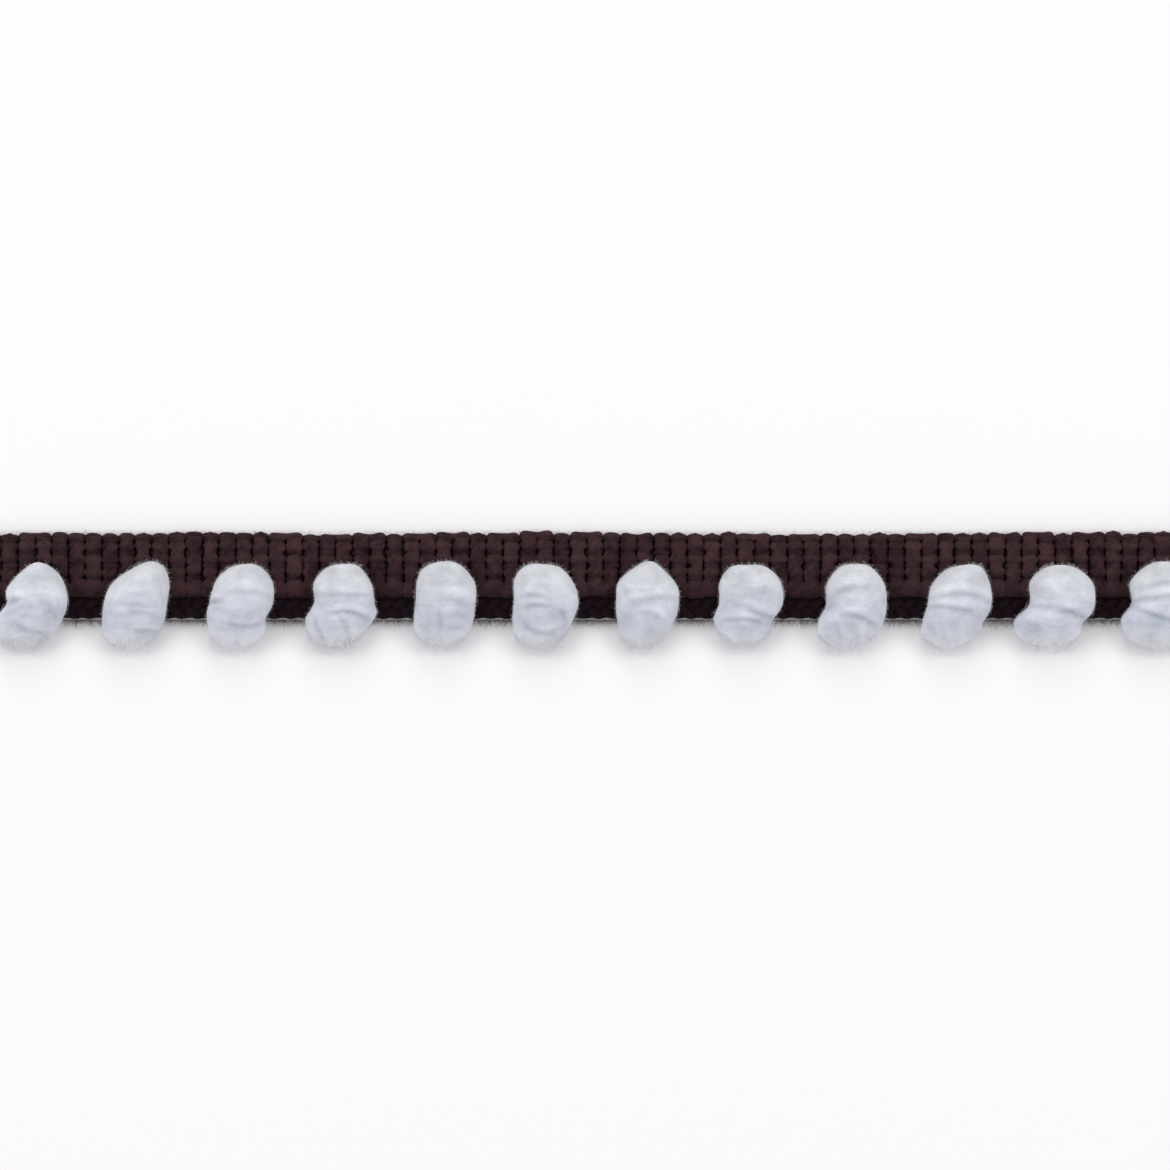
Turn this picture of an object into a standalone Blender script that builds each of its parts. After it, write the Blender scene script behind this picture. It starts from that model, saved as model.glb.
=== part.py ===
"""Pompom fringe trim: a cut length lying on its back.

A braid heading of upright weft ribs carries a narrow chain foot along its lower edge. Pompoms of
soft tow are tied to the foot at an even pitch. Each one is a short bundle tied at its middle, so
its locks fan out from the tie into two lobes. The upper lobe lies over the heading, and the
lower lobe hangs past the foot and rests on the surface.

Frame: metres. +X runs along the trim, +Y across it from the pompoms to the heading's top edge,
and +Z out of its face. The origin is the middle of the heading's flat back.
"""

import math
import random
from collections import namedtuple

import bmesh
import bpy
from mathutils import Vector

MM = 0.001

# The run of the trim: it is cut half a pitch past each end pompom.
POMPOM_PITCH = 11.6 * MM
POMPOM_COUNT = 12
TRIM_LENGTH = POMPOM_COUNT * POMPOM_PITCH
CLEARANCE = 0.3 * MM

# The heading: weft ribs stand side by side, and warp rows bind them across.
HEADING_WIDTH = 7.4 * MM
RIB_COUNT = 73
RIB_PITCH = TRIM_LENGTH / RIB_COUNT
RIB_SHARES = (0.0, 0.27, 0.73)  # a rib's valley and its two shoulders, as shares of the pitch
SELVEDGE = 0.8 * MM  # from the top edge to the first warp pinch
ROW_COUNT = 3
ROW_PITCH = 1.48 * MM
ROLL_CREST = 2.6 * MM  # the rolled lower row is highest this far below the middle
OVER_LIFT = 0.12 * MM  # a rib that crosses over a warp row stands this much higher
LOOP_DIP = 0.22 * MM  # how deep the top edge dips between two weft turns
EDGE_WANDER = 0.12 * MM  # how far the top edge strays from straight, over this period
EDGE_PERIOD = 52 * MM
HEADING_BACK = (-3.2 * MM, 3.55 * MM)  # the lower and upper edges of the flat back

# The chain foot, which the pompoms are tied to.
FOOT_WIDTH = 2.4 * MM
FOOT_ACROSS = -5.13 * MM
FOOT_BACK = (-1.1 * MM, 1.57 * MM)  # its upper edge is tucked under the heading's rolled edge
STITCH_SWAY = 0.16 * MM  # the two sides of a chain stitch rise and fall by this, in turn

# The pompoms: sizes that all of them share. Places on a lobe are angles: along it, from its far
# end (0) to the tie (90), and around it, with 0 at the face and 90 at the right side.
TIE_ACROSS = -4.95 * MM
TIE_HEIGHT = 3.2 * MM
FACE_DEPTH = 3.2 * MM  # half the thickness of a lobe
UPPER_LIFT = 0.35 * MM  # the upper lobe rides up over the heading
LOWER_SAG = -1.3 * MM  # the lower lobe drops to the surface
REST_BAND = 0.25 * MM  # tow that hangs this near the surface lies on it
LOBE_ARC = 113.0  # a lobe's section is this much of a half turn, which leaves a waist at the tie
LOBE_CENTRE = -math.cos(math.radians(LOBE_ARC)) / (1 - math.cos(math.radians(LOBE_ARC)))
WAIST_BAND = 24.0  # the tie draws the tow in over this stretch of each lobe
CORE_DIP = 0.15  # between the tie and its far end, the core lies this share under the locks
CORE_SEGMENTS = 12
CORE_RINGS = 6

# The locks stand apart round each lobe, from the tie to its far end, except on its underside.
LOCKS_PER_LOBE = 8
LOCK_STEP = 27.0
LOCK_SPREAD = 10.5  # half a lock's width, as an angle around the lobe
LOCK_JITTER = 2.5
LOCK_ROOT = 87.0
LOCK_TIPS = (8.0, 24.0)
LOCK_RISE = (0.91, 1.0)  # how far out a lock's root and its tip lie, as shares of the lobe
LOCK_THICKNESS = 0.11
LOCK_BELLY = 0.75  # under 1, so a lock is widest near its tip
SPINDLE_SIDES = 4
SPINDLE_RINGS = 3

# Heights of the heading's lines over its back, on a rib's crest and in the valley beside it.
Line = namedtuple("Line", "across crest valley row")
TOP_EDGE = (1.15 * MM, 0.85 * MM)
PINCH = (1.72 * MM, 1.15 * MM)
BULGE = (1.90 * MM, 1.52 * MM)
ROLL = (2.02 * MM, 1.66 * MM)
LOWER_EDGE = (0.95 * MM, 0.80 * MM)

# The foot's section, from its lower edge to its upper edge: place, height, and side of the stitch.
Corner = namedtuple("Corner", "across height side")
FOOT_SECTION = (
    Corner(-FOOT_WIDTH / 2, 0.55 * MM, 0),
    Corner(-0.66 * MM, 1.22 * MM, 1),
    Corner(0.00 * MM, 1.02 * MM, 0),
    Corner(0.66 * MM, 1.22 * MM, -1),
    Corner(FOOT_WIDTH / 2, 0.55 * MM, 0),
)
FOOT_TOP = 1.22 * MM + STITCH_SWAY
HEADING_TOP = ROLL[0] + OVER_LIFT

# Each pompom, from left to right. Drift moves it off its even place along the trim, and lean
# turns its upper lobe to the right. Reaches are measured from the tie. Waist is how much the
# tie draws it in. The far end of the upper lobe stands this far (peak) to the right, and is
# this pointed (point), from 0, round, to 1.
Pompom = namedtuple(
    "Pompom", "drift lean upper_width lower_width upper_reach lower_reach waist peak point"
)
POMPOMS = (
    Pompom(-0.4, 11, 7.0, 6.9, 5.4, 4.9, 0.09, -0.5, 0.30),
    Pompom(-0.1, 11, 7.1, 6.9, 5.4, 4.9, 0.03, 0.8, 0.35),
    Pompom(0.3, 9, 7.1, 7.0, 5.4, 5.0, 0.10, 0.2, 0.05),
    Pompom(0.0, 8, 7.0, 6.8, 5.4, 4.9, 0.06, -0.2, 0.05),
    Pompom(0.1, 4, 6.8, 6.6, 5.5, 4.6, 0.00, -0.2, 0.00),
    Pompom(-0.1, 2, 7.3, 6.6, 5.4, 4.7, 0.00, -0.6, 0.05),
    Pompom(-0.1, 1, 7.2, 6.4, 5.5, 5.1, 0.00, 0.3, 0.50),
    Pompom(-0.2, 9, 7.3, 6.6, 5.3, 4.7, 0.12, 0.0, 0.00),
    Pompom(0.2, 5, 7.2, 7.1, 5.4, 5.2, 0.05, -0.2, 0.10),
    Pompom(0.2, 9, 7.2, 6.9, 5.3, 4.7, 0.06, 0.4, 0.10),
    Pompom(0.0, 12, 7.5, 7.8, 5.2, 4.7, 0.14, -0.5, 0.10),
    Pompom(0.1, 10, 7.4, 7.2, 5.5, 5.1, 0.10, 0.0, 0.05),
)

# sRGB colours, as hex values.
BRAID_COLOUR = "3B272A"
FOOT_COLOUR = "2E1D21"
TOW_COLOUR = "CFD6E2"
BRAID_ROUGHNESS = 0.85
TOW_ROUGHNESS = 0.95


def clear_scene():
    for obj in list(bpy.data.objects):
        bpy.data.objects.remove(obj, do_unlink=True)


def new_collection(name):
    collection = bpy.data.collections.new(name)
    bpy.context.scene.collection.children.link(collection)
    return collection


def linear_colour(hex_colour):
    """The linear RGBA of an sRGB hex value."""
    shares = [int(hex_colour[i : i + 2], 16) / 255 for i in (0, 2, 4)]
    return [((s + 0.055) / 1.055) ** 2.4 if s > 0.04045 else s / 12.92 for s in shares] + [1.0]


def yarn_material(name, hex_colour, roughness):
    material = bpy.data.materials.new(name)
    material.use_nodes = True
    shader = material.node_tree.nodes["Principled BSDF"]
    shader.inputs["Base Color"].default_value = linear_colour(hex_colour)
    shader.inputs["Roughness"].default_value = roughness
    shader.inputs["Metallic"].default_value = 0.0
    return material


def object_from(bm, name, collection, material):
    """The bmesh as a named object with one material, with its faces pointing out."""
    bmesh.ops.recalc_face_normals(bm, faces=bm.faces)
    mesh = bpy.data.meshes.new(name)
    bm.to_mesh(mesh)
    bm.free()
    mesh.materials.append(material)
    obj = bpy.data.objects.new(name, mesh)
    collection.objects.link(obj)
    return obj


def edge_wander(x):
    """How far the top edge strays from straight: two slow waves of unlike length."""
    turn = 2 * math.pi * x / EDGE_PERIOD
    return EDGE_WANDER * (0.6 * math.sin(turn + 1.3) + 0.4 * math.sin(2.7 * turn + 2.7))


def ribbed_slab(column_count, line_count, place, back):
    """A closed slab with a flat back: place(column, line) gives each point of its face.

    Back holds the lower and upper edges of the back.
    """
    bm = bmesh.new()
    bmesh.ops.create_grid(bm, x_segments=column_count - 1, y_segments=line_count - 1, size=1.0)
    for vert in bm.verts:
        column = round((vert.co.x + 1) / 2 * (column_count - 1))
        line = round((1 - vert.co.y) / 2 * (line_count - 1))
        vert.co = place(column, line)
    rim = [edge for edge in bm.edges if edge.is_boundary]
    low, high = min(v.co.y for v in bm.verts), max(v.co.y for v in bm.verts)
    dropped = bmesh.ops.extrude_edge_only(bm, edges=rim)["geom"]
    for vert in dropped:
        if isinstance(vert, bmesh.types.BMVert):
            vert.co.y = back[0] + (back[1] - back[0]) * (vert.co.y - low) / (high - low)
            vert.co.z = 0.0
    outline = [item for item in dropped if isinstance(item, bmesh.types.BMEdge)]
    bmesh.ops.edgeloop_fill(bm, edges=outline)
    return bm


def heading_lines():
    """The lines of points across the heading, from its top edge down to its lower edge."""
    top = HEADING_WIDTH / 2
    lines = [Line(top, *TOP_EDGE, None)]
    across = top - SELVEDGE
    for row in range(ROW_COUNT):
        lines.append(Line(across, *PINCH, None))
        lines.append(Line(across - ROW_PITCH / 2, *BULGE, row))
        across -= ROW_PITCH
    lines.append(Line(across, *PINCH, None))
    lines.append(Line(-ROLL_CREST, *ROLL, ROW_COUNT))
    lines.append(Line(-top, *LOWER_EDGE, None))
    return lines


def build_heading(collection, material):
    """The braid: weft ribs pinched by warp rows, in tabby order, with a rolled lower row."""
    lines = heading_lines()
    shares = len(RIB_SHARES)

    def place(column, line_number):
        line = lines[line_number]
        rib, share_number = divmod(column, shares)
        x = (rib + RIB_SHARES[share_number]) * RIB_PITCH - TRIM_LENGTH / 2
        in_valley = share_number == 0
        y = line.across
        z = line.valley if in_valley else line.crest
        if line.row is not None and not in_valley and (rib + line.row) % 2 == 0:
            z += OVER_LIFT
        if line_number == 0:
            y += edge_wander(x)
            # The weft turns round this edge from one rib to the next, so every other valley dips.
            if in_valley and rib % 2 == 0:
                y -= LOOP_DIP
        return Vector((x, y, z))

    bm = ribbed_slab(shares * RIB_COUNT + 1, len(lines), place, HEADING_BACK)
    return object_from(bm, "heading", collection, material)


def build_foot(collection, material):
    """The chain foot: a row of stitches whose two sides rise in turn, like a plait."""
    column_count = 2 * RIB_COUNT + 1

    def place(column, line_number):
        corner = FOOT_SECTION[len(FOOT_SECTION) - 1 - line_number]
        x = column * RIB_PITCH / 2 - TRIM_LENGTH / 2
        rise = 1 if column % 2 == 0 else -1
        return Vector((x, corner.across, corner.height + STITCH_SWAY * rise * corner.side))

    bm = ribbed_slab(column_count, len(FOOT_SECTION), place, FOOT_BACK)
    foot = object_from(bm, "foot_chain", collection, material)
    foot.location.y = FOOT_ACROSS
    return foot


def tow_point(pompom, lobe, along, around, share=1.0):
    """A point of a pompom's tow from its tie, before it leans. Lobe is 1, upper, or -1, lower."""
    upper = lobe > 0
    reach = (pompom.upper_reach if upper else pompom.lower_reach) * MM
    half_width = (pompom.upper_width if upper else pompom.lower_width) * MM / 2
    arc = math.radians(along * LOBE_ARC / 90)
    rise = math.cos(arc) * (share if math.cos(arc) > 0 else 1.0)
    y = reach * (LOBE_CENTRE + (1 - LOBE_CENTRE) * rise)
    swell = max(0.0, math.sin(arc)) * share
    swell *= 1 - pompom.waist * max(0.0, 1 - (90 - along) / WAIST_BAND)
    aside = 0.0
    if upper and rise > 0:
        swell *= math.sin(arc) ** pompom.point if arc > 0 else 0.0
        aside = pompom.peak * MM * rise**2
    drop = (UPPER_LIFT if upper else LOWER_SAG) * y / reach
    turn = math.radians(around)
    x = half_width * swell * math.sin(turn) + aside
    z = FACE_DEPTH * swell * math.cos(turn) + drop
    if TIE_HEIGHT + z < REST_BAND:
        z = -TIE_HEIGHT
    return Vector((x, lobe * y, z))


def sphere_angles(vert):
    """A unit sphere's point as its angle from the upper pole and its turn, in degrees."""
    polar = math.degrees(math.acos(max(-1.0, min(1.0, vert.co.z))))
    return polar, math.degrees(math.atan2(vert.co.x, vert.co.y))


def tow_core(pompom):
    """The fused roots of the locks: a sphere whose poles are the far ends of the two lobes."""
    bm = bmesh.new()
    bmesh.ops.create_uvsphere(bm, u_segments=CORE_SEGMENTS, v_segments=CORE_RINGS, radius=1.0)
    for vert in bm.verts:
        polar, around = sphere_angles(vert)
        lobe = 1 if polar < 90.5 else -1
        along = polar if lobe > 0 else 180 - polar
        share = 1 - CORE_DIP * math.sin(math.radians(2 * along))
        vert.co = tow_point(pompom, lobe, min(along, 90.0), around, share)
    return bm


def add_lock(bm, pompom, lobe, around, tip, tip_around):
    """One lock: a four-sided spindle, from its root at the tie to its free tip."""
    spindle = bmesh.ops.create_uvsphere(
        bm, u_segments=SPINDLE_SIDES, v_segments=SPINDLE_RINGS, radius=1.0
    )
    ring_radius = math.sin(math.pi / SPINDLE_RINGS)
    for vert in spindle["verts"]:
        polar, turn = sphere_angles(vert)
        run = (polar / 180) ** LOCK_BELLY
        girth = math.hypot(vert.co.x, vert.co.y) / ring_radius
        side = girth * math.sin(math.radians(turn))
        out = girth * math.cos(math.radians(turn))
        share = LOCK_RISE[0] + (LOCK_RISE[1] - LOCK_RISE[0]) * run + LOCK_THICKNESS * out
        along = LOCK_ROOT + (tip - LOCK_ROOT) * run
        middle = around + (tip_around - around) * run
        vert.co = tow_point(pompom, lobe, along, middle + LOCK_SPREAD * side, share)


def tow_locks(pompom, uneven):
    """The locks of both lobes, as one mesh of separate spindles."""
    bm = bmesh.new()
    for lobe in (1, -1):
        for number in range(LOCKS_PER_LOBE):
            around = (number - (LOCKS_PER_LOBE - 1) / 2) * LOCK_STEP
            around += uneven.uniform(-LOCK_JITTER, LOCK_JITTER)
            tip_around = around + uneven.uniform(-LOCK_JITTER, LOCK_JITTER)
            add_lock(bm, pompom, lobe, around, uneven.uniform(*LOCK_TIPS), tip_around)
    return bm


def add_boolean(obj, operation, cutter):
    modifier = obj.modifiers.new(f"{operation.lower()} {cutter.name}", "BOOLEAN")
    modifier.operation = operation
    modifier.solver = "EXACT"
    modifier.object = cutter


def hide_helper(obj):
    obj.hide_render = True
    obj.display_type = "WIRE"


def clearance_block(name, low_y, top, collection):
    """A block from this lower edge up past the heading, which keeps the tow off the braid."""
    bm = bmesh.new()
    bmesh.ops.create_cube(bm, size=1.0)
    for vert in bm.verts:
        vert.co.x *= TRIM_LENGTH + POMPOM_PITCH
        vert.co.y = HEADING_WIDTH if vert.co.y > 0 else low_y
        vert.co.z = top if vert.co.z > 0 else -top
    mesh = bpy.data.meshes.new(name)
    bm.to_mesh(mesh)
    bm.free()
    block = bpy.data.objects.new(name, mesh)
    collection.objects.link(block)
    hide_helper(block)
    return block


def clearance_blocks(helpers):
    """Blocks over the heading and over the foot, each grown by the clearance."""
    heading_low = -HEADING_WIDTH / 2 - CLEARANCE
    foot_low = FOOT_ACROSS - FOOT_WIDTH / 2 - CLEARANCE
    return (
        clearance_block("over_heading", heading_low, HEADING_TOP + CLEARANCE, helpers),
        clearance_block("over_foot", foot_low, FOOT_TOP + CLEARANCE, helpers),
    )


def build_pompom(number, pompom, blocks, parts, helpers, material):
    """One pompom: its core, its locks fused to it at their roots, and its seat on the braid."""
    name = f"pompom_{number + 1:02d}"
    body = object_from(tow_core(pompom), name, parts, material)
    locks = object_from(tow_locks(pompom, random.Random(number)), f"{name}_locks", helpers, material)
    hide_helper(locks)
    x = (number - (POMPOM_COUNT - 1) / 2) * POMPOM_PITCH + pompom.drift * MM
    for obj in (body, locks):
        obj.location = (x, TIE_ACROSS, TIE_HEIGHT)
        obj.rotation_euler.z = -math.radians(pompom.lean)
    add_boolean(body, "UNION", locks)
    for block in blocks:
        add_boolean(body, "DIFFERENCE", block)
    return body


def main():
    clear_scene()
    parts = new_collection("pompom_fringe_trim")
    helpers = new_collection("cutters_and_locks")
    braid = yarn_material("braid yarn", BRAID_COLOUR, BRAID_ROUGHNESS)
    chain = yarn_material("chain yarn", FOOT_COLOUR, BRAID_ROUGHNESS)
    tow = yarn_material("soft tow", TOW_COLOUR, TOW_ROUGHNESS)
    build_heading(parts, braid)
    build_foot(parts, chain)
    blocks = clearance_blocks(helpers)
    for number, pompom in enumerate(POMPOMS):
        build_pompom(number, pompom, blocks, parts, helpers, tow)


main()
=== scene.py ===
"""The looks of a pompom fringe trim: woven braid heading, plaited foot and tied tow pompoms.

The trim lies on its back on a pale floor, under a camera that looks straight down. Metres, with
+X along the trim, +Y towards the heading's top edge and +Z out of its face.
"""

import math
from collections import namedtuple

import bpy
import numpy as np
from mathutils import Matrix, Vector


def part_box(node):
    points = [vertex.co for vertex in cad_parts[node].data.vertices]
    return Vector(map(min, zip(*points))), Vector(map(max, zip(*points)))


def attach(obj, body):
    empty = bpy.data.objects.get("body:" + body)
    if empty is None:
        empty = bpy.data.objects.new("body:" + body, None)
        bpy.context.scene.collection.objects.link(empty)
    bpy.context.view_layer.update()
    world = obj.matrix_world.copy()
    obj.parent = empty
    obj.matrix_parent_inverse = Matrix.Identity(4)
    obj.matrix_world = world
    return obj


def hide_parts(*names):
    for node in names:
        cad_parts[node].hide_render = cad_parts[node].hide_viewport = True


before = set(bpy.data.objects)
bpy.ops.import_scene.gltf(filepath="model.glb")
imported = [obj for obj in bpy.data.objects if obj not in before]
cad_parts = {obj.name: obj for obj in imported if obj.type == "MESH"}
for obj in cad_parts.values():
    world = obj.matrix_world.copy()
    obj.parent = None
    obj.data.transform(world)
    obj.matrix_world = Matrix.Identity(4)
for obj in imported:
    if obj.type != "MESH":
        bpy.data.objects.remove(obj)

MM = 0.001
TURN = 2 * math.pi
BODY = "root"
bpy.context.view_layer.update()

# ---------------------------------------------------------------- sizes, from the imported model

HEADING_LOW, HEADING_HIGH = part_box("heading")
FOOT_LOW, FOOT_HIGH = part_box("foot_chain")
FOOT_MIDDLE = (FOOT_LOW.y + FOOT_HIGH.y) / 2
TRIM_LENGTH = HEADING_HIGH.x - HEADING_LOW.x
RIB_COUNT = 73
RIB_PITCH = TRIM_LENGTH / RIB_COUNT
POMPOM_COUNT = 12
POMPOM_PITCH = TRIM_LENGTH / POMPOM_COUNT
TIE_ACROSS = -4.95 * MM  # where the pompoms are tied to the foot
LOBE_REACH = 5.2 * MM  # from its tie to either end of a pompom

# ---------------------------------------------------------------- small helpers


def linear(hex_colour):
    """The linear RGBA of an sRGB hex value."""
    shares = [int(hex_colour[i : i + 2], 16) / 255 for i in (0, 2, 4)]
    return [((s + 0.055) / 1.055) ** 2.4 if s > 0.04045 else s / 12.92 for s in shares] + [1.0]


def set_inputs(node, **inputs):
    """Sets a node's inputs. Each is a value, or another node's output socket to link from."""
    for name, value in inputs.items():
        key = int(name[1:]) if name[0] == "i" and name[1:].isdigit() else name.replace("_", " ")
        if isinstance(value, bpy.types.NodeSocket):
            node.id_data.links.new(value, node.inputs[key])
        else:
            node.inputs[key].default_value = value


def add_node(tree, kind, settings=None, **inputs):
    """Adds a node with its settings, and its inputs as values or links."""
    node = tree.nodes.new(kind)
    for name, value in (settings or {}).items():
        setattr(node, name, value)
    set_inputs(node, **inputs)
    return node


def new_object(name, data):
    """A new object in the scene."""
    obj = bpy.data.objects.new(name, data)
    bpy.context.scene.collection.objects.link(obj)
    return obj


def unit(vectors):
    """The same directions, each one long."""
    return vectors / np.linalg.norm(vectors, axis=-1, keepdims=True)


def smooth_step(low, high, value):
    """Goes smoothly from 0 at low to 1 at high."""
    share = np.clip((value - low) / (high - low), 0, 1)
    return share * share * (3 - 2 * share)


def between(before, start, end, after, t):
    """A place on a smooth curve through four points: at start for t = 0, at end for t = 1."""
    return 0.5 * (
        2 * start + (end - before) * t
        + (2 * before - 5 * start + 4 * end - after) * t**2
        + (3 * start - before - 3 * end + after) * t**3
    )


def through(controls, spans):
    """Smooth curves through control points, as (curve, point, value) arrays, sampled evenly."""
    ends = np.concatenate([controls[:, :1], controls, controls[:, -1:]], axis=1)
    points = [ends[:, i : i + controls.shape[1] - 1] for i in range(4)]
    rows = [between(*points, step / spans) for step in range(spans)]
    curve = np.stack(rows, axis=2).reshape(controls.shape[0], -1, controls.shape[2])
    return np.concatenate([curve, controls[:, -1:]], axis=1)


PLAIN = (0, 0.0, 1.0)  # a tube that shows no plies
FIBRE_SIDES = 3


class Tubes:
    """Many closed tubes in one mesh, with a UV map in millimetres and a tone for each tube."""

    def __init__(self):
        self.points, self.faces, self.uvs, self.tones = [], [], [], []
        self.count = 0

    def add(self, paths, normals, half_width, half_thickness, sides, tones, plies=PLAIN, flat=1.0):
        """Sweeps an oval section along each path. Plies is their number, depth and turn length,
        and a section is the flatter, the lower flat is below 1."""
        tubes, steps = paths.shape[:2]
        tangents = unit(np.gradient(paths, axis=1))
        across = unit(np.cross(tangents, normals))
        out = np.cross(across, tangents)
        runs = np.linalg.norm(np.diff(paths, axis=1), axis=2).cumsum(axis=1)
        runs = np.concatenate([np.zeros((tubes, 1)), runs], axis=1)
        angles = np.arange(sides) / sides * TURN - math.pi / 2  # the UV map's seam is at the back
        ply_count, ply_depth, ply_turn = plies
        girth = 1 + ply_depth * np.cos(ply_count * (angles + runs[..., None] / ply_turn * TURN))
        rings = paths[:, :, None]
        for half, wave, way in (
            (half_width, np.cos(angles), across),
            (half_thickness, np.sin(angles), out),
        ):
            oval = np.sign(wave) * np.abs(wave) ** flat
            reach = np.broadcast_to(half, (tubes, steps))[..., None] * girth * oval
            rings = rings + way[:, :, None] * reach[..., None]
        self.points.append(rings.reshape(-1, 3))
        tone = np.broadcast_to(np.asarray(tones, float).reshape(-1, 1), (tubes, steps * sides))
        self.tones.append(tone.reshape(-1))
        self.skin(tubes, steps, sides)
        self.unwrap(runs, sides)

    def skin(self, tubes, steps, sides):
        """Adds the faces: a band from each ring to the next, and a cap on each end."""
        index = self.count + np.arange(tubes * steps * sides).reshape(tubes, steps, sides)
        nexts = np.roll(index, -1, axis=2)
        quads = np.stack([index[:, :-1], index[:, 1:], nexts[:, 1:], nexts[:, :-1]], axis=-1)
        self.faces += quads.reshape(-1, 4).tolist()
        self.faces += index[:, 0].tolist()
        self.faces += index[:, -1, ::-1].tolist()
        self.count += index.size

    def unwrap(self, runs, sides):
        """Adds the UV map: one turn wide, and in millimetres along each tube."""
        near = np.broadcast_to(np.arange(sides) / sides, (*runs[:, 1:].shape, sides))
        far = near + 1 / sides
        low = np.broadcast_to(runs[:, :-1, None], near.shape) / MM
        high = np.broadcast_to(runs[:, 1:, None], near.shape) / MM
        bands = np.stack([near, low, near, high, far, high, far, low], axis=-1)
        caps = np.zeros((2 * len(runs) * sides, 2))
        self.uvs += [bands.reshape(-1, 2), caps]

    def piece(self, name, material):
        """Makes one object of all the tubes."""
        mesh = bpy.data.meshes.new(name)
        mesh.from_pydata(np.concatenate(self.points).tolist(), [], self.faces)
        uv_map = mesh.uv_layers.new(name="UVMap")
        uv_map.data.foreach_set("uv", np.concatenate(self.uvs).astype(np.float32).reshape(-1))
        tone = mesh.attributes.new("tone", "FLOAT", "POINT")
        tone.data.foreach_set("value", np.concatenate(self.tones).astype(np.float32))
        mesh.materials.append(material)
        mesh.shade_smooth()
        return new_object(name, mesh)


# ---------------------------------------------------------------- materials

PLY_COUNT = 4
PLY_STEP = 1.5  # from one ply to the next along a yarn, in mm
FILAMENT_WIDTH = 0.09  # in mm: coarser than a real filament, so that it shows
MULTIPLY_ADD = {"operation": "MULTIPLY_ADD"}


def new_material(name):
    """A new material, with its node tree and its shader."""
    material = bpy.data.materials.new(name)
    material.use_nodes = True
    tree = material.node_tree
    return material, tree, tree.nodes["Principled BSDF"]


def yarn_patterns(tree):
    """The plies that wind round a yarn and the filaments that run along them. The UV map is one
    turn wide and runs in millimetres along the yarn."""
    uv = add_node(tree, "ShaderNodeUVMap", {"uv_map": "UVMap"})
    parts = add_node(tree, "ShaderNodeSeparateXYZ", Vector=uv.outputs["UV"])
    twist = add_node(
        tree, "ShaderNodeMath", MULTIPLY_ADD, i0=parts.outputs["Y"], i1=1 / PLY_STEP, i2=0.0,
    )
    wind = add_node(
        tree, "ShaderNodeMath", MULTIPLY_ADD,
        i0=parts.outputs["X"], i1=float(PLY_COUNT), i2=twist.outputs["Value"],
    )
    angle = add_node(
        tree, "ShaderNodeMath", {"operation": "MULTIPLY"}, i0=wind.outputs["Value"], i1=TURN,
    )
    plies = add_node(tree, "ShaderNodeMath", {"operation": "SINE"}, i0=angle.outputs["Value"])
    # Filaments: noise that is stretched along the plies.
    along = add_node(
        tree, "ShaderNodeCombineXYZ", X=wind.outputs["Value"], Y=parts.outputs["Y"], Z=0.0,
    )
    stretch = add_node(
        tree, "ShaderNodeMapping", Vector=along.outputs["Vector"],
        Scale=(PLY_STEP / FILAMENT_WIDTH / PLY_COUNT, 0.7, 1.0),
    )
    filaments = add_node(
        tree, "ShaderNodeTexNoise", {"noise_dimensions": "2D"},
        Vector=stretch.outputs["Vector"], Scale=1.0, Detail=4.0, Roughness=0.6,
    )
    return plies, filaments


def yarn_material(name, dark, light):
    """Thick yarn plied from bulked filaments, matt: soft plies wind round it, fine filaments run
    along them, and each yarn is a touch lighter or darker than the next."""
    material, tree, shader = new_material(name)
    plies, filaments = yarn_patterns(tree)
    place = add_node(tree, "ShaderNodeTexCoord")
    # Patches about a millimetre wide, where the dye took a little better or worse.
    patches = add_node(
        tree, "ShaderNodeTexNoise", Vector=place.outputs["Object"], Scale=900.0, Detail=3.0,
    )
    tone = add_node(tree, "ShaderNodeAttribute", {"attribute_name": "tone"})
    mottle = add_node(
        tree, "ShaderNodeMath", MULTIPLY_ADD,
        i0=patches.outputs["Fac"], i1=0.8, i2=tone.outputs["Fac"],
    )
    mix = add_node(
        tree, "ShaderNodeMath", MULTIPLY_ADD,
        i0=filaments.outputs["Fac"], i1=0.55, i2=mottle.outputs["Value"],
    )
    ramp = add_node(tree, "ShaderNodeValToRGB", Fac=mix.outputs["Value"])
    for stop, position, colour in zip(ramp.color_ramp.elements, (0.51, 1.0), (dark, light)):
        stop.position = position
        stop.color = linear(colour)
    ply_bump = add_node(
        tree, "ShaderNodeBump", Height=plies.outputs["Value"], Strength=0.6, Distance=0.03 * MM,
    )
    bump = add_node(
        tree, "ShaderNodeBump", Height=filaments.outputs["Fac"], Strength=0.7,
        Distance=0.08 * MM, Normal=ply_bump.outputs["Normal"],
    )
    set_inputs(
        shader, Base_Color=ramp.outputs["Color"], Normal=bump.outputs["Normal"],
        Roughness=0.8, Sheen_Weight=0.02, Sheen_Roughness=0.6, Specular_IOR_Level=0.1,
    )
    return material


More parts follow.
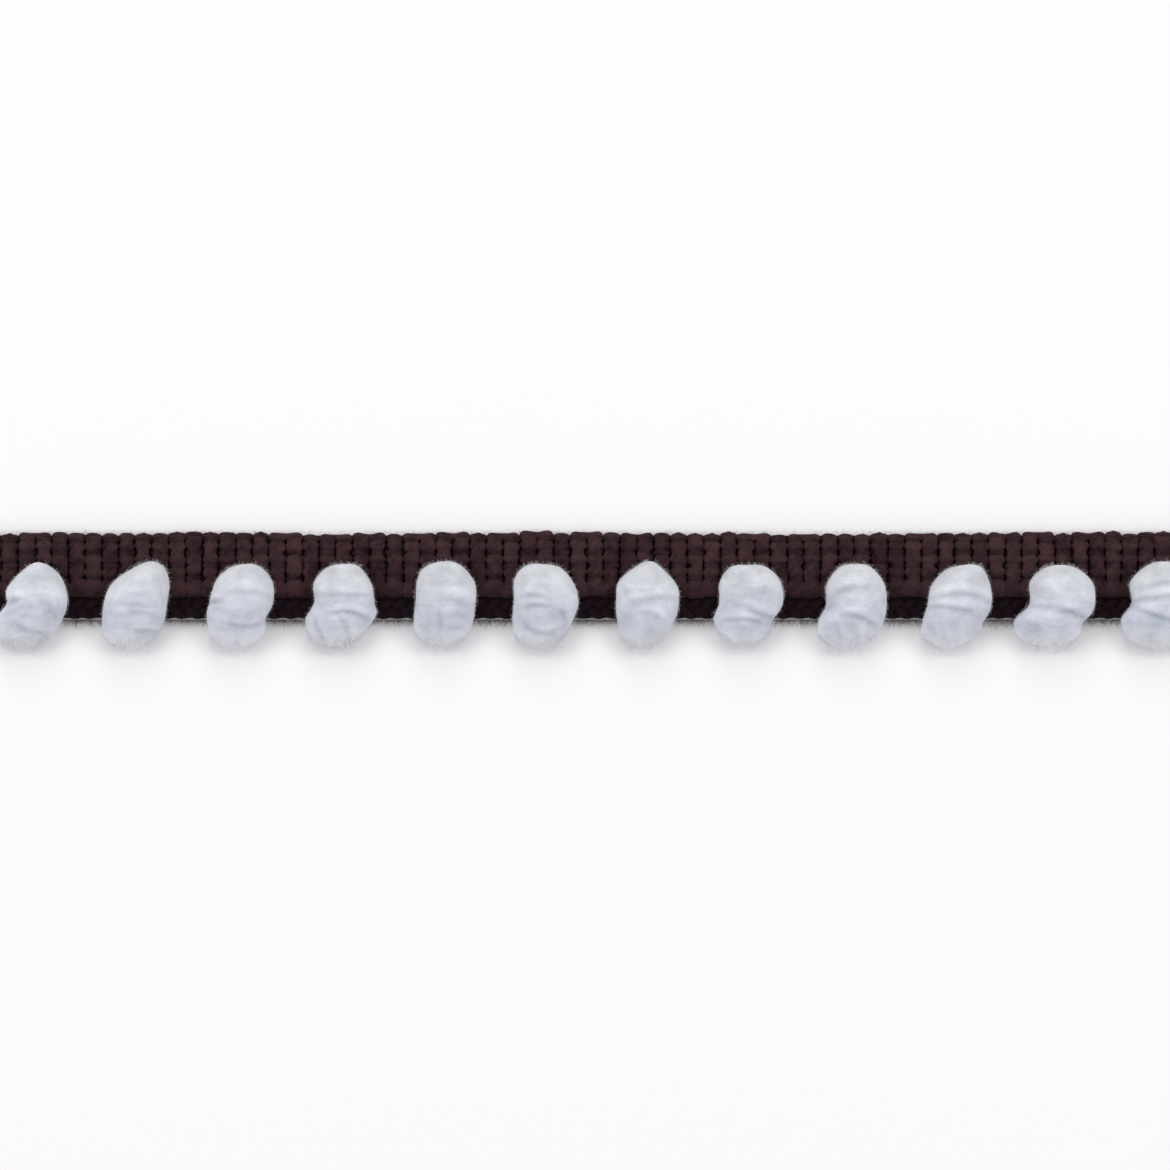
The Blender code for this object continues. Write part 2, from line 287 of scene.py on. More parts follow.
def tow_colour(tree, place, shade, light):
    """The tow's mottled pale blue, with painted light: greyer and paler in the upper lobes, and
    bluer from the tie down.
    """
    # Clouds about two millimetres wide.
    clouds = add_node(tree, "ShaderNodeTexNoise", Vector=place, Scale=450.0, Detail=2.0)
    # Faint streaks, half a millimetre apart, where the tow was wound over itself.
    wound = add_node(
        tree, "ShaderNodeMapping", Vector=place, Rotation=(0.0, 0.0, 0.3), Scale=(0.25, 1.0, 1.0),
    )
    streaks = add_node(
        tree, "ShaderNodeTexNoise",
        Vector=wound.outputs["Vector"], Scale=2200.0, Detail=4.0, Distortion=0.8,
    )
    tone = add_node(tree, "ShaderNodeAttribute", {"attribute_name": "tone"})
    mottle = add_node(
        tree, "ShaderNodeMath", MULTIPLY_ADD,
        i0=clouds.outputs["Fac"], i1=0.4, i2=tone.outputs["Fac"],
    )
    mix = add_node(
        tree, "ShaderNodeMath", MULTIPLY_ADD,
        i0=streaks.outputs["Fac"], i1=0.25, i2=mottle.outputs["Value"],
    )
    ramp = add_node(tree, "ShaderNodeValToRGB", Fac=mix.outputs["Value"])
    for stop, position, colour in zip(ramp.color_ramp.elements, (0.40, 1.0), (shade, light)):
        stop.position = position
        stop.color = linear(colour)
    # Painted light: the tow is greyer and paler up the upper lobes, and bluer from the tie down.
    across = add_node(tree, "ShaderNodeSeparateXYZ", Vector=place)
    painted_light_saturation = add_node(
        tree, "ShaderNodeMapRange", Value=across.outputs["Y"],
        i1=TIE_ACROSS, i2=TIE_ACROSS + 0.7 * LOBE_REACH, i3=1.15, i4=0.55,
    )
    tint = add_node(
        tree, "ShaderNodeHueSaturation",
        Saturation=painted_light_saturation.outputs["Result"], Color=ramp.outputs["Color"],
    )
    return tint.outputs["Color"]


def tow_material(name, shade, light, softness_mm):
    """Brushed acrylic tow, soft and quite matt: pale blue, with painted light that makes its lower
    ends near white.
    Light goes a little way in, so that its folds have no hard edges."""
    material, tree, shader = new_material(name)
    place = add_node(tree, "ShaderNodeTexCoord").outputs["Object"]
    # Fibres that lie along the tow, a tenth of a millimetre apart.
    combed = add_node(tree, "ShaderNodeMapping", Vector=place, Scale=(1.0, 0.25, 1.0))
    grain = add_node(
        tree, "ShaderNodeTexNoise",
        Vector=combed.outputs["Vector"], Scale=7000.0, Detail=3.0, Distortion=1.0,
    )
    bump = add_node(
        tree, "ShaderNodeBump", Height=grain.outputs["Fac"], Strength=0.2, Distance=0.05 * MM,
    )
    set_inputs(
        shader, Base_Color=tow_colour(tree, place, shade, light), Normal=bump.outputs["Normal"],
        Roughness=1.0, Sheen_Weight=0.25, Sheen_Roughness=0.4, Specular_IOR_Level=0.03,
    )
    if softness_mm:
        set_inputs(
            shader, Subsurface_Weight=1.0, Subsurface_Radius=(1.0, 1.0, 1.0),
            Subsurface_Scale=softness_mm * MM,
        )
    return material


BRAID_YARN = yarn_material("spun braid yarn", "130004", "402A2E")
# The chain yarn is partly its own darker colour, partly painted shade under the heading's roll and
# between the pompoms.
CHAIN_YARN_AND_SHADE = yarn_material("spun chain yarn, painted shade", "090105", "1C0B15")
# The ground's dark colour is painted shade in the holes between the ribs.
GROUND_YARN_AND_SHADE = yarn_material("braid ground yarn, painted shade", "180409", "1F070E")
# Both tow materials paint light: greyer upper lobes and, through their tones, near white lower
# ends and darker creases.
TOW = tow_material("brushed pale blue tow, painted light", "AEB3C0", "F3F4FB", 1.0)
# The fibres' lighter colours are painted light against the shade on thin fibres.
TOW_FIBRE = tow_material("loose pale blue fibres, painted light", "C2C6D2", "F8F8FC", 0.0)

# ---------------------------------------------------------------- the braid

ROW_PITCH = 1.50 * MM
ROWS_ACROSS = [2.98 * MM - row * ROW_PITCH for row in range(4)]  # the warp rows, from the top
TOP_LINE = ROWS_ACROSS[0]
YARN_SIDES = 12
YARN_THICKNESS = 0.42 * MM  # half
YARN_PLIES = (PLY_COUNT, 0.05, PLY_STEP * PLY_COUNT * MM)

RIB_HALF = 1.00 * MM  # half a rib's width between two rows
RIB_BULGE = 1.44 * MM  # height of a rib's middle between two rows
RIB_FLAT, TURN_FLAT, WARP_FLAT = 0.75, 0.9, 0.85
RIB_TONES = (0.08, 0.28)
# Where a rib crosses over or under a row: its middle's height, half the stretch that is held
# there, and the share of its width that is left.
Crossing = namedtuple("Crossing", "height neck share")
OVER = Crossing(1.37 * MM, 0.34 * MM, 0.80)
UNDER = Crossing(0.92 * MM, 0.18 * MM, 0.70)

WARP_HALF = 0.40 * MM
WARP_THICKNESS = 0.29 * MM
WARP_OVER, WARP_UNDER, WARP_CROSSING = 1.20 * MM, 0.50 * MM, 0.58 * MM  # a row's own middle
WARP_PINCH = 0.7  # the share of a row's width that is left between two ribs
WARP_TUCK = 0.9  # and that is left under a rib
WARP_REST = 0.24  # half the stretch that lies over or under a rib, as a share of the pitch
WARP_TONES = (0.0, 0.2)
WANDER_LENGTH, WANDER = 52 * MM, 0.12 * MM  # of the top edge

# A rib's way from the back, round the rolled lower edge and up the face: place across, height,
# slope of its outward side from the face's own (degrees), and share of its width.
Stop = namedtuple("Stop", "across height slope share")
LOWER_ROLL = (
    Stop(-2.60, 0.44, 180, 0.85),
    Stop(-3.10, 0.50, 150, 1.00),
    Stop(-3.30, 0.88, 90, 1.14),
    Stop(-3.12, 1.28, 45, 1.22),
    Stop(-2.70, 1.50, 14, 1.24),
    Stop(-2.15, 1.52, -6, 1.14),
)


def edge_wander(x):
    """How far the top edge strays from straight along the trim, in two slow waves."""
    turn = TURN * x / WANDER_LENGTH
    return WANDER * (0.6 * np.sin(turn + 1.3) + 0.4 * np.sin(2.7 * turn + 2.7))


def is_rib_over(rib, row):
    """Whether a rib lies over a warp row, and not under it."""
    return (rib + row) % 2 == 0


def rib_controls(rib, uneven):
    """The control points of one rib: place, outward side, half width and half thickness. Its
    strays are in mm, and its widths stray by a share."""
    x = HEADING_LOW.x + (rib + 0.5) * RIB_PITCH + uneven.normal(0, 0.05) * MM
    width = RIB_HALF * (1 + uneven.normal(0, 0.04))
    sag = uneven.normal(0, 0.06) * MM
    rows = []
    for stop in LOWER_ROLL:
        slope = math.radians(stop.slope)
        side = (0, -math.sin(slope), math.cos(slope))
        across = stop.across * MM + sag
        half = width * stop.share
        rows.append([x, across, stop.height * MM, *side, half, YARN_THICKNESS])
    for row in reversed(range(len(ROWS_ACROSS))):
        across = ROWS_ACROSS[row] + uneven.normal(0, 0.06) * MM
        crossing = OVER if is_rib_over(rib, row) else UNDER
        height = crossing.height + uneven.normal(0, 0.04) * MM
        share = crossing.share * (1 + uneven.normal(0, 0.06))
        lean = uneven.normal(0, 0.06) * MM
        for y in (across - crossing.neck, across + crossing.neck):
            rows.append([x + lean, y, height, 0, 0, 1, width * share, YARN_THICKNESS])
        if row > 0:
            bulge = RIB_BULGE + uneven.normal(0, 0.05) * MM
            swell = width * (1 + uneven.normal(0, 0.03))
            rows.append([x, across + ROW_PITCH / 2, bulge, 0, 0, 1, swell, YARN_THICKNESS])
    return rows


def build_ribs():
    """The weft: one rib beside another, each over one warp row and under the next."""
    uneven = np.random.default_rng(11)
    controls = np.array([rib_controls(rib, uneven) for rib in range(RIB_COUNT)])
    curve = through(controls, spans=3)
    tubes = Tubes()
    tones = uneven.uniform(*RIB_TONES, RIB_COUNT)
    tubes.add(
        curve[..., :3], unit(curve[..., 3:6]), curve[..., 6], curve[..., 7],
        YARN_SIDES, tones, YARN_PLIES, RIB_FLAT,
    )
    return tubes.piece("weft_ribs", BRAID_YARN)


TWO_RIB_SHARE = 0.2  # of the turns lie over two ribs, and the others over one
TURN_END = (-0.02 * MM, 0.60 * MM, 0.34)  # across from the top row, height, half width in mm
TURN_SHOULDER = (0.24 * MM, 0.86 * MM, 0.38)
TURN_CROWN = (0.36 * MM, 1.16 * MM, 0.42)
TURN_MIDDLE = (0.40 * MM, 0.41)
TURN_REACH = (0.56, 0.80)  # how far a turn's ends lie past its ribs' middles, in mm
DIP_OF_ONE, DIP_OF_TWO = (-0.10, 0.05), (0.10, 0.26)  # of a turn's middle over its ribs, in mm
TURN_SHOULDER_IN = 0.06 * MM
TURN_CROWN_OUT = 0.20 * MM
TURN_TILT = 0.35  # how far a turn's face leans over the edge, for each 1 out of the face


def turn_controls(left, taken, uneven):
    """The control points of one turn over one or two ribs, from the rib at left: place, outward
    side and half width. Its strays are in mm."""
    right = left + (taken - 1) * RIB_PITCH
    rise = float(edge_wander(left)) + uneven.normal(0.02 * taken - 0.07, 0.09) * MM
    dip = uneven.uniform(*(DIP_OF_ONE if taken == 1 else DIP_OF_TWO)) * MM
    reach = uneven.uniform(*TURN_REACH) * MM
    end, low, end_half = TURN_END
    shoulder, mid, shoulder_half = TURN_SHOULDER
    crown, high, crown_half = TURN_CROWN
    middle, middle_half = TURN_MIDDLE
    high = high + uneven.normal(0, 0.05) * MM
    stops = (
        (left - reach, TOP_LINE + end, low, end_half),
        (left - reach + TURN_SHOULDER_IN, TOP_LINE + shoulder + rise, mid, shoulder_half),
        (left - TURN_CROWN_OUT, TOP_LINE + crown + rise, high, crown_half),
        ((left + right) / 2, TOP_LINE + middle + rise - dip, high - dip, middle_half),
        (right + TURN_CROWN_OUT, TOP_LINE + crown + rise, high, crown_half),
        (right + reach - TURN_SHOULDER_IN, TOP_LINE + shoulder + rise, mid, shoulder_half),
        (right + reach, TOP_LINE + end, low, end_half),
    )
    return [[x, y, z, 0, TURN_TILT, 1, half * MM] for x, y, z, half in stops]


def build_turns():
    """The weft's turns along the top edge: each lies as a bar over the ends of one or two ribs."""
    uneven = np.random.default_rng(12)
    controls = []
    rib = 0
    while rib < RIB_COUNT:
        taken = min(1 + (uneven.random() < TWO_RIB_SHARE), RIB_COUNT - rib)
        controls.append(turn_controls(HEADING_LOW.x + (rib + 0.5) * RIB_PITCH, taken, uneven))
        rib += taken
    curve = through(np.array(controls), spans=4)
    tubes = Tubes()
    tones = uneven.uniform(*RIB_TONES, len(controls))
    tubes.add(
        curve[..., :3], unit(curve[..., 3:6]), curve[..., 6], YARN_THICKNESS,
        YARN_SIDES, tones, YARN_PLIES, TURN_FLAT,
    )
    return tubes.piece("weft_turns", BRAID_YARN)


def build_warp():
    """The warp: four thinner rows that bind the ribs, over where a rib is under."""
    uneven = np.random.default_rng(13)
    controls = []
    for row, across in enumerate(ROWS_ACROSS):
        stops = []
        for rib in range(RIB_COUNT):
            over = not is_rib_over(rib, row)
            x = HEADING_LOW.x + rib * RIB_PITCH
            y = across + uneven.normal(0, 0.05) * MM
            height = (WARP_OVER if over else WARP_UNDER) + uneven.normal(0, 0.03) * MM
            share = (1.0 if over else WARP_TUCK) * (1 + uneven.normal(0, 0.06))
            stops.append([x, y, WARP_CROSSING, 0, 0, 1, WARP_HALF * WARP_PINCH])
            for end in (-WARP_REST, WARP_REST):
                stops.append([x + (0.5 + end) * RIB_PITCH, y, height, 0, 0, 1, WARP_HALF * share])
        last = list(stops[0])
        last[0] = HEADING_HIGH.x
        controls.append([*stops, last])
    curve = through(np.array(controls), spans=3)
    tubes = Tubes()
    tones = uneven.uniform(*WARP_TONES, len(controls))
    tubes.add(
        curve[..., :3], unit(curve[..., 3:6]), curve[..., 6], WARP_THICKNESS,
        YARN_SIDES, tones, YARN_PLIES, WARP_FLAT,
    )
    return tubes.piece("warp_rows", BRAID_YARN)


PLAIT_STITCH = 1.76 * MM  # from one edge bump of the plait to the next
PLAIT_SWAY = 0.68 * MM  # to either side
PLAIT_HEAVE = 0.36 * MM  # up and down
PLAIT_MIDDLE = 0.84 * MM  # the height that it heaves about
PLAIT_YARN = (0.50 * MM, 0.38 * MM)  # half width and half thickness
PLAIT_TONES = (0.2, 0.25, 0.3)
PLAIT_POINTS = 400  # along each of its yarns


def build_foot():
    """The foot: a plait of three yarns, which cross from edge to edge in turn."""
    x = np.linspace(FOOT_LOW.x, FOOT_HIGH.x, PLAIT_POINTS)
    yarns = len(PLAIT_TONES)
    phases = np.arange(yarns)[:, None] / yarns * TURN
    swing = TURN * x / (yarns * PLAIT_STITCH) + phases
    paths = np.stack([
        np.broadcast_to(x, swing.shape),
        FOOT_MIDDLE + PLAIT_SWAY * np.sin(swing),
        PLAIT_MIDDLE + PLAIT_HEAVE * np.sin(2 * swing),
    ], axis=-1)
    normals = np.broadcast_to([0.0, 0.0, 1.0], paths.shape)
    tubes = Tubes()
    tubes.add(paths, normals, *PLAIT_YARN, YARN_SIDES, PLAIT_TONES, YARN_PLIES)
    # Its yarn's dark colour is partly painted shade.
    return tubes.piece("foot_plait", CHAIN_YARN_AND_SHADE)


# The lint along the foot between the pompoms is dark fibres laid as painted shade on the floor
# under the foot.
LINT_FIBRES = 6500
LINT_LOW_SHARE = 0.8  # of the lint is on the foot, and the rest on the top edge
LINT_SPREAD = 2.7  # half the stretch between two pompoms that has lint, in mm
LINT_END = 0.5 * MM  # the bare stretch at each end of the top edge
LINT_LOW_LINE, LINT_TOP_LINE = FOOT_LOW.y + 0.14 * MM, TOP_LINE + 0.72 * MM
LINT_LOW_HEIGHT, LINT_TOP_HEIGHT = (0.30, 1.2), (0.8, 1.3)  # in mm
LINT_SHORTEST, LINT_LONGER = 0.15, 1.05  # the shortest, and how much longer it gets, in mm
LINT_TOP_SHARE = 0.5  # the length that it has on the top edge, as a share of the foot's
LINT_ASIDE = 0.9  # how far it leans to either side, for each 1 away from its edge
LINT_UP = (-0.2, 0.3)  # how far it leans up, and its stray, for each 1 away
LINT_RADIUS = (0.005, 0.0095)  # in mm
LINT_TONES = (0.0, 0.35)
LOWEST_FIBRE = 0.03 * MM  # a fibre lies on the floor no lower than this


def build_lint_and_painted_shade():
    """The fluff of the spun yarns: fibre ends that stand off both edges of the braid. Most of it
    is dark lint along the foot between the pompoms, as painted shade on the floor under the foot."""
    uneven = np.random.default_rng(14)
    count = LINT_FIBRES
    low = uneven.random(count) < LINT_LOW_SHARE
    gap = uneven.integers(0, POMPOM_COUNT - 1, count) - (POMPOM_COUNT - 2) / 2
    x_low = gap * POMPOM_PITCH + uneven.uniform(-LINT_SPREAD, LINT_SPREAD, count) * MM
    x_top = uneven.uniform(HEADING_LOW.x + LINT_END, HEADING_HIGH.x - LINT_END, count)
    y = np.where(low, LINT_LOW_LINE, LINT_TOP_LINE)
    z_low = uneven.uniform(*LINT_LOW_HEIGHT, count)
    z = np.where(low, z_low, uneven.uniform(*LINT_TOP_HEIGHT, count)) * MM
    root = np.stack([np.where(low, x_low, x_top), y, z], axis=1)
    aside = uneven.normal(0, LINT_ASIDE, count)
    away = np.where(low, -1.0, 1.0)
    way = unit(np.stack([aside, away, uneven.normal(*LINT_UP, count)], axis=1))
    length = LINT_SHORTEST + LINT_LONGER * uneven.random(count) ** 2
    length = length * np.where(low, 1.0, LINT_TOP_SHARE) * MM
    steps = np.linspace(0, 1, 2)
    place = root[:, None] + way[:, None] * (length[:, None] * steps)[..., None]
    place[..., 2] = np.maximum(place[..., 2], LOWEST_FIBRE)
    curl = uneven.normal(0, 1, (count, 3))
    normal = np.broadcast_to(unit(np.cross(way, curl))[:, None], place.shape)
    radius = uneven.uniform(*LINT_RADIUS, count)[:, None] * MM * (1 - 0.4 * steps)
    tubes = Tubes()
    tubes.add(place, normal, radius, radius, FIBRE_SIDES, uneven.uniform(*LINT_TONES, count))
    # The lint on the foot is painted shade on the floor.
    return tubes.piece("braid_lint_and_painted_shade", BRAID_YARN)


GROUND_WIDTH = 9.4 * MM
GROUND_LOW_EDGE = FOOT_LOW.y + 0.35 * MM
GROUND_LENGTH = TRIM_LENGTH - 0.3 * MM
GROUND_THICKNESS = 0.35 * MM
GROUND_LEVEL = 0.78 * MM


def build_ground():
    """The inside of the braid: a thin sheet through the middle of heading and foot."""
    bpy.ops.mesh.primitive_grid_add(x_subdivisions=160, y_subdivisions=12, size=1.0)
    ground = bpy.context.object
    ground.name = "braid_ground"
    for vert in ground.data.vertices:
        vert.co.x *= GROUND_LENGTH
        vert.co.y = GROUND_LOW_EDGE + (vert.co.y + 0.5) * GROUND_WIDTH
        vert.co.z = GROUND_LEVEL
    solidify = ground.modifiers.new("thickness", "SOLIDIFY")
    solidify.thickness = GROUND_THICKNESS
    solidify.offset = 0.0
    bpy.ops.object.modifier_apply(modifier=solidify.name)
    # Its dark colour is painted shade in the holes between the ribs.
    ground.data.materials.append(GROUND_YARN_AND_SHADE)
    ground.data.shade_smooth()
    return ground


# ---------------------------------------------------------------- the pompoms

TIE_HEIGHT = 3.2 * MM
FACE_DEPTH = 3.15 * MM
WIDEST = 3.45 * MM  # half the width that has the full depth
UPPER_LIFT = 0.35 * MM  # how far the upper end is above the tie
LOWER_SAG = -2.0 * MM  # and the lower end below it

# The outline of each pompom, in mm right and up of its tie: its top, five points down its right
# side (shoulder, upper lobe, waist, lower lobe and foot), its bottom, and five down its left.
Outline = namedtuple("Outline", "top right bottom left")
OUTLINES = (
    Outline((0.4, 5.3), ((2.7, 4.1), (3.8, 1.9), (3.6, -0.2), (2.4, -2.2), (1.1, -3.4)),
            (-1.0, -4.4), ((-1.8, 3.9), (-3.1, 2.2), (-3.1, 0.7), (-4.4, -1.4), (-3.8, -3.5))),
    Outline((1.7, 5.4), ((3.1, 4.8), (3.7, 3.0), (3.6, 0.7), (3.3, -1.3), (2.1, -3.0)),
            (-0.4, -4.5), ((-0.1, 4.8), (-2.1, 3.4), (-3.3, 1.8), (-3.9, -0.9), (-3.6, -3.4))),
    Outline((1.0, 5.1), ((2.6, 4.7), (4.0, 3.1), (4.0, 0.8), (3.1, -1.0), (2.8, -3.0)),
            (-0.1, -4.6), ((-0.9, 4.7), (-2.4, 3.3), (-3.1, 1.0), (-3.6, -1.0), (-3.0, -3.4))),
    Outline((0.5, 5.1), ((2.2, 4.8), (3.6, 2.8), (3.9, 0.6), (4.0, -0.8), (2.0, -3.3)),
            (-0.3, -4.4), ((-1.4, 4.7), (-2.9, 3.0), (-2.9, 0.7), (-4.0, -1.3), (-3.2, -3.5))),
    Outline((0.2, 5.4), ((2.1, 5.0), (3.7, 3.0), (3.8, 0.7), (3.5, -1.3), (2.5, -3.3)),
            (-0.5, -4.2), ((-1.9, 4.8), (-2.8, 3.3), (-3.0, 0.8), (-3.2, -1.3), (-2.8, -3.1))),
    Outline((-0.4, 5.1), ((1.8, 4.7), (3.4, 2.8), (3.9, 0.6), (3.2, -1.4), (2.1, -3.3)),
            (0.4, -4.6), ((-2.3, 4.8), (-3.4, 3.3), (-3.4, 0.8), (-3.5, -1.5), (-2.9, -3.5))),
    Outline((0.6, 5.4), ((2.0, 4.4), (3.5, 2.6), (3.7, 0.6), (3.3, -1.4), (2.2, -3.0)),
            (-0.2, -4.5), ((-1.0, 4.9), (-3.1, 3.1), (-3.4, 0.8), (-3.2, -1.4), (-2.5, -3.4))),
    Outline((0.3, 5.0), ((2.2, 4.7), (3.7, 3.0), (3.9, 0.6), (2.7, -1.4), (2.2, -3.0)),
            (-0.1, -4.2), ((-1.9, 4.7), (-3.2, 3.0), (-3.3, 0.7), (-3.9, -1.3), (-2.8, -3.3))),
    Outline((0.8, 5.1), ((2.4, 4.7), (3.9, 2.8), (4.2, 0.6), (3.8, -1.5), (2.5, -3.2)),
            (-0.4, -4.6), ((-1.2, 4.7), (-2.7, 2.8), (-2.7, 0.4), (-3.5, -1.5), (-3.2, -3.4))),
    Outline((1.4, 5.0), ((3.4, 4.7), (4.3, 2.7), (4.4, 0.3), (3.7, -1.4), (3.0, -3.0)),
            (-0.4, -4.5), ((-0.9, 4.3), (-2.4, 2.6), (-2.8, 0.4), (-3.3, -1.5), (-3.1, -3.3))),
    Outline((0.9, 5.0), ((2.9, 4.4), (4.5, 2.7), (4.5, 0.0), (3.3, -1.7), (2.9, -3.3)),
            (-0.2, -4.3), ((-1.2, 4.6), (-2.7, 3.0), (-2.8, 0.6), (-4.5, -1.3), (-3.6, -3.4))),
    Outline((0.6, 5.4), ((2.9, 4.9), (4.5, 3.1), (4.5, 0.7), (4.0, -1.3), (3.2, -3.3)),
            (0.6, -4.6), ((-1.3, 4.7), (-2.9, 3.0), (-2.8, 0.7), (-4.0, -1.3), (-3.0, -3.5))),
)

# The folds in each pompom's face, in mm right and up of its tie: from one end to the other, how
# far the middle bows up, and the fold's width and depth.
Fold = namedtuple("Fold", "right up right_end up_end bow width depth")
FOLDS = (
    (Fold(-3.3, 0.7, -1.1, 1.1, 0.0, 0.40, 0.30), Fold(1.2, 1.2, 2.9, -1.0, -0.2, 0.80, 0.28),
     Fold(-2.0, -1.7, 2.0, -2.9, -0.3, 0.34, 0.28), Fold(-2.7, -0.4, 0.5, 0.3, 0.3, 0.34, 0.10),
     Fold(-2.4, 3.1, 2.8, 3.1, 0.5, 0.46, 0.10)),
    (Fold(-2.9, 0.6, 1.7, 0.2, 0.2, 0.34, 0.16), Fold(-1.0, -2.2, 2.6, -2.5, -0.2, 0.34, 0.22),
     Fold(-1.3, -0.6, 2.6, -1.0, 0.3, 0.46, 0.15), Fold(-2.4, 2.4, 1.5, 2.8, 0.3, 0.46, 0.10)),
    (Fold(-3.7, 0.7, -1.5, 1.0, 0.0, 0.34, 0.34), Fold(-1.9, 1.5, 4.0, 1.2, 0.6, 0.46, 0.22),
     Fold(-1.0, -1.6, 3.1, -1.4, -0.6, 0.34, 0.24), Fold(-0.1, -2.9, 0.1, -4.9, 0.0, 0.29, 0.14)),
    (Fold(-2.8, 1.5, 3.8, 1.5, 0.1, 0.34, 0.18), Fold(-1.1, 4.0, 2.9, 4.3, 0.2, 0.34, 0.10),
     Fold(-1.0, -0.5, 3.6, -1.4, 0.5, 0.40, 0.36), Fold(-3.0, -0.8, -1.6, -3.8, -0.1, 0.34, 0.26),
     Fold(-0.6, -0.4, 1.1, -3.1, 0.3, 0.34, 0.22)),
    (Fold(-0.7, 2.7, 1.8, 2.7, 0.2, 0.34, 0.12), Fold(0.2, 1.1, 3.6, 0.1, 0.3, 0.57, 0.28),
     Fold(-0.2, -0.2, -0.3, -2.9, -0.1, 0.34, 0.22), Fold(0.2, -2.2, 2.9, -2.4, 0.1, 0.46, 0.22),
     Fold(-2.8, 0.3, -0.5, -0.1, 0.2, 0.34, 0.12)),
    (Fold(-2.9, 1.4, 0.7, 1.0, 0.3, 0.34, 0.26), Fold(-2.9, 0.0, 1.8, -0.2, 0.5, 0.34, 0.22),
     Fold(-2.6, -1.3, 1.6, -2.4, -1.0, 0.46, 0.40), Fold(1.8, 0.3, 2.3, -1.9, 0.2, 0.34, 0.18)),
    (Fold(-2.9, 1.9, 0.7, 1.9, 0.1, 0.34, 0.14), Fold(-1.6, 0.6, 3.4, 1.1, 0.3, 0.46, 0.26),
     Fold(0.2, -0.2, 2.1, -1.4, 0.0, 0.34, 0.22), Fold(-2.7, -0.4, -1.6, -1.7, 0.0, 0.46, 0.14)),
    (Fold(-0.2, 1.7, 3.5, 1.5, 0.3, 0.80, 0.26), Fold(-0.4, 0.3, 3.6, -1.1, -0.3, 0.40, 0.34),
     Fold(-2.9, -1.3, 2.1, -1.8, 0.3, 0.34, 0.28), Fold(-1.3, -2.4, 0.0, -2.5, 0.0, 0.46, 0.24),
     Fold(-2.5, -2.9, -1.8, -4.2, 0.0, 0.34, 0.14)),
    (Fold(-2.4, 1.2, 1.9, 2.4, 0.5, 0.46, 0.30), Fold(-3.1, 0.0, -1.8, 0.8, 0.0, 0.46, 0.24),
     Fold(-0.8, -0.6, 3.0, -2.1, 0.3, 0.40, 0.36), Fold(-2.0, -1.5, -0.8, -4.7, 0.2, 0.34, 0.16),
     Fold(0.1, -1.5, 1.0, -4.2, 0.2, 0.34, 0.18)),
    (Fold(-2.4, 1.1, 4.4, 0.7, 0.8, 0.40, 0.32), Fold(-2.6, 0.3, 2.4, -0.4, 0.1, 0.34, 0.26),
     Fold(-2.9, -1.9, -1.7, -3.5, 0.0, 0.57, 0.20), Fold(-1.5, -1.5, -0.6, -3.5, 0.0, 0.29, 0.14)),
    (Fold(-2.6, 0.3, -0.3, 0.1, 0.0, 0.34, 0.20), Fold(-0.6, 0.2, 4.2, -1.5, 0.2, 0.40, 0.32),
     Fold(-3.7, -1.5, -0.8, -3.5, 0.2, 0.68, 0.24), Fold(0.8, -0.4, 2.6, -0.2, 0.0, 0.34, 0.14),
     Fold(-2.6, 2.6, -1.5, 1.0, 0.0, 0.57, 0.14)),
    (Fold(-2.8, 0.7, 4.3, 1.0, 0.5, 0.40, 0.34), Fold(-2.8, 0.2, 2.9, -1.6, -0.2, 0.40, 0.36),
     Fold(-2.1, -2.6, 0.6, -3.5, 0.0, 0.46, 0.16), Fold(-1.7, 2.4, 2.4, 2.8, 0.3, 0.46, 0.12)),
)

# What the tow is pressed against: the heading, the foot and the floor.
HEADING_SEAT, FOOT_SEAT, FLOOR_SEAT = 1.80 * MM, 1.42 * MM, 0.02 * MM
HEADING_EDGE, HEADING_SLOPE = HEADING_LOW.y - 0.1 * MM, 0.5 * MM
FOOT_EDGE, FOOT_SLOPE = FOOT_LOW.y - 0.05 * MM, 0.3 * MM
PRESS_SOFTNESS = 0.12 * MM
CLEAR = 20  # how many softnesses up nothing presses any more

RINGS, SEGMENTS = 72, 72  # of a pompom's mesh
WOUND_SPAN = 1.35  # the tow's length from the tie to either end, in lobe reaches
CRIMP_LENGTH = 1.05 * MM
CRIMP_DEPTH = 0.012 * MM
LUMP_DEPTH = 0.09 * MM
FOLD_SHARE = 0.72  # how much of a fold is left in the soft tow
FOLD_FADE = 0.35  # how far past its ends a fold fades out, in mm
LIP_SHARE, LIP_OFF, LIP_WIDTH = 0.45, 1.9, 1.3  # the lip above a fold, in shares of the fold
CREASE_PAINTED_SHADE = 0.6  # how much painted shade darkens a millimetre of crease
END_DEPTH = 0.45  # the depth of a pompom's lower end, as a share of a round one's
ROUNDNESS = 0.65  # how slowly the depth falls where a pompom is narrower


def seat(place):
    """The height under which tow can't lie at each place."""
    on_heading = smooth_step(HEADING_EDGE - HEADING_SLOPE, HEADING_EDGE, place[..., 1])
    on_foot = smooth_step(FOOT_EDGE - FOOT_SLOPE, FOOT_EDGE, place[..., 1])
    low = FLOOR_SEAT + (FOOT_SEAT - FLOOR_SEAT) * on_foot
    return low + (HEADING_SEAT - FOOT_SEAT) * on_heading


def waves(uneven, turn, run, amount, finest):
    """Soft unevenness, about -1 to 1: a few slow waves round the tow and along it."""
    total = np.zeros(np.broadcast(turn, run).shape)
    for _ in range(amount):
        spin = uneven.integers(1, finest) * turn + uneven.uniform(0, TURN)
        rate = uneven.uniform(0.5, 1.0) * finest
        total += np.sin(spin) * np.sin(rate * run + uneven.uniform(0, TURN))
    return total / math.sqrt(amount)


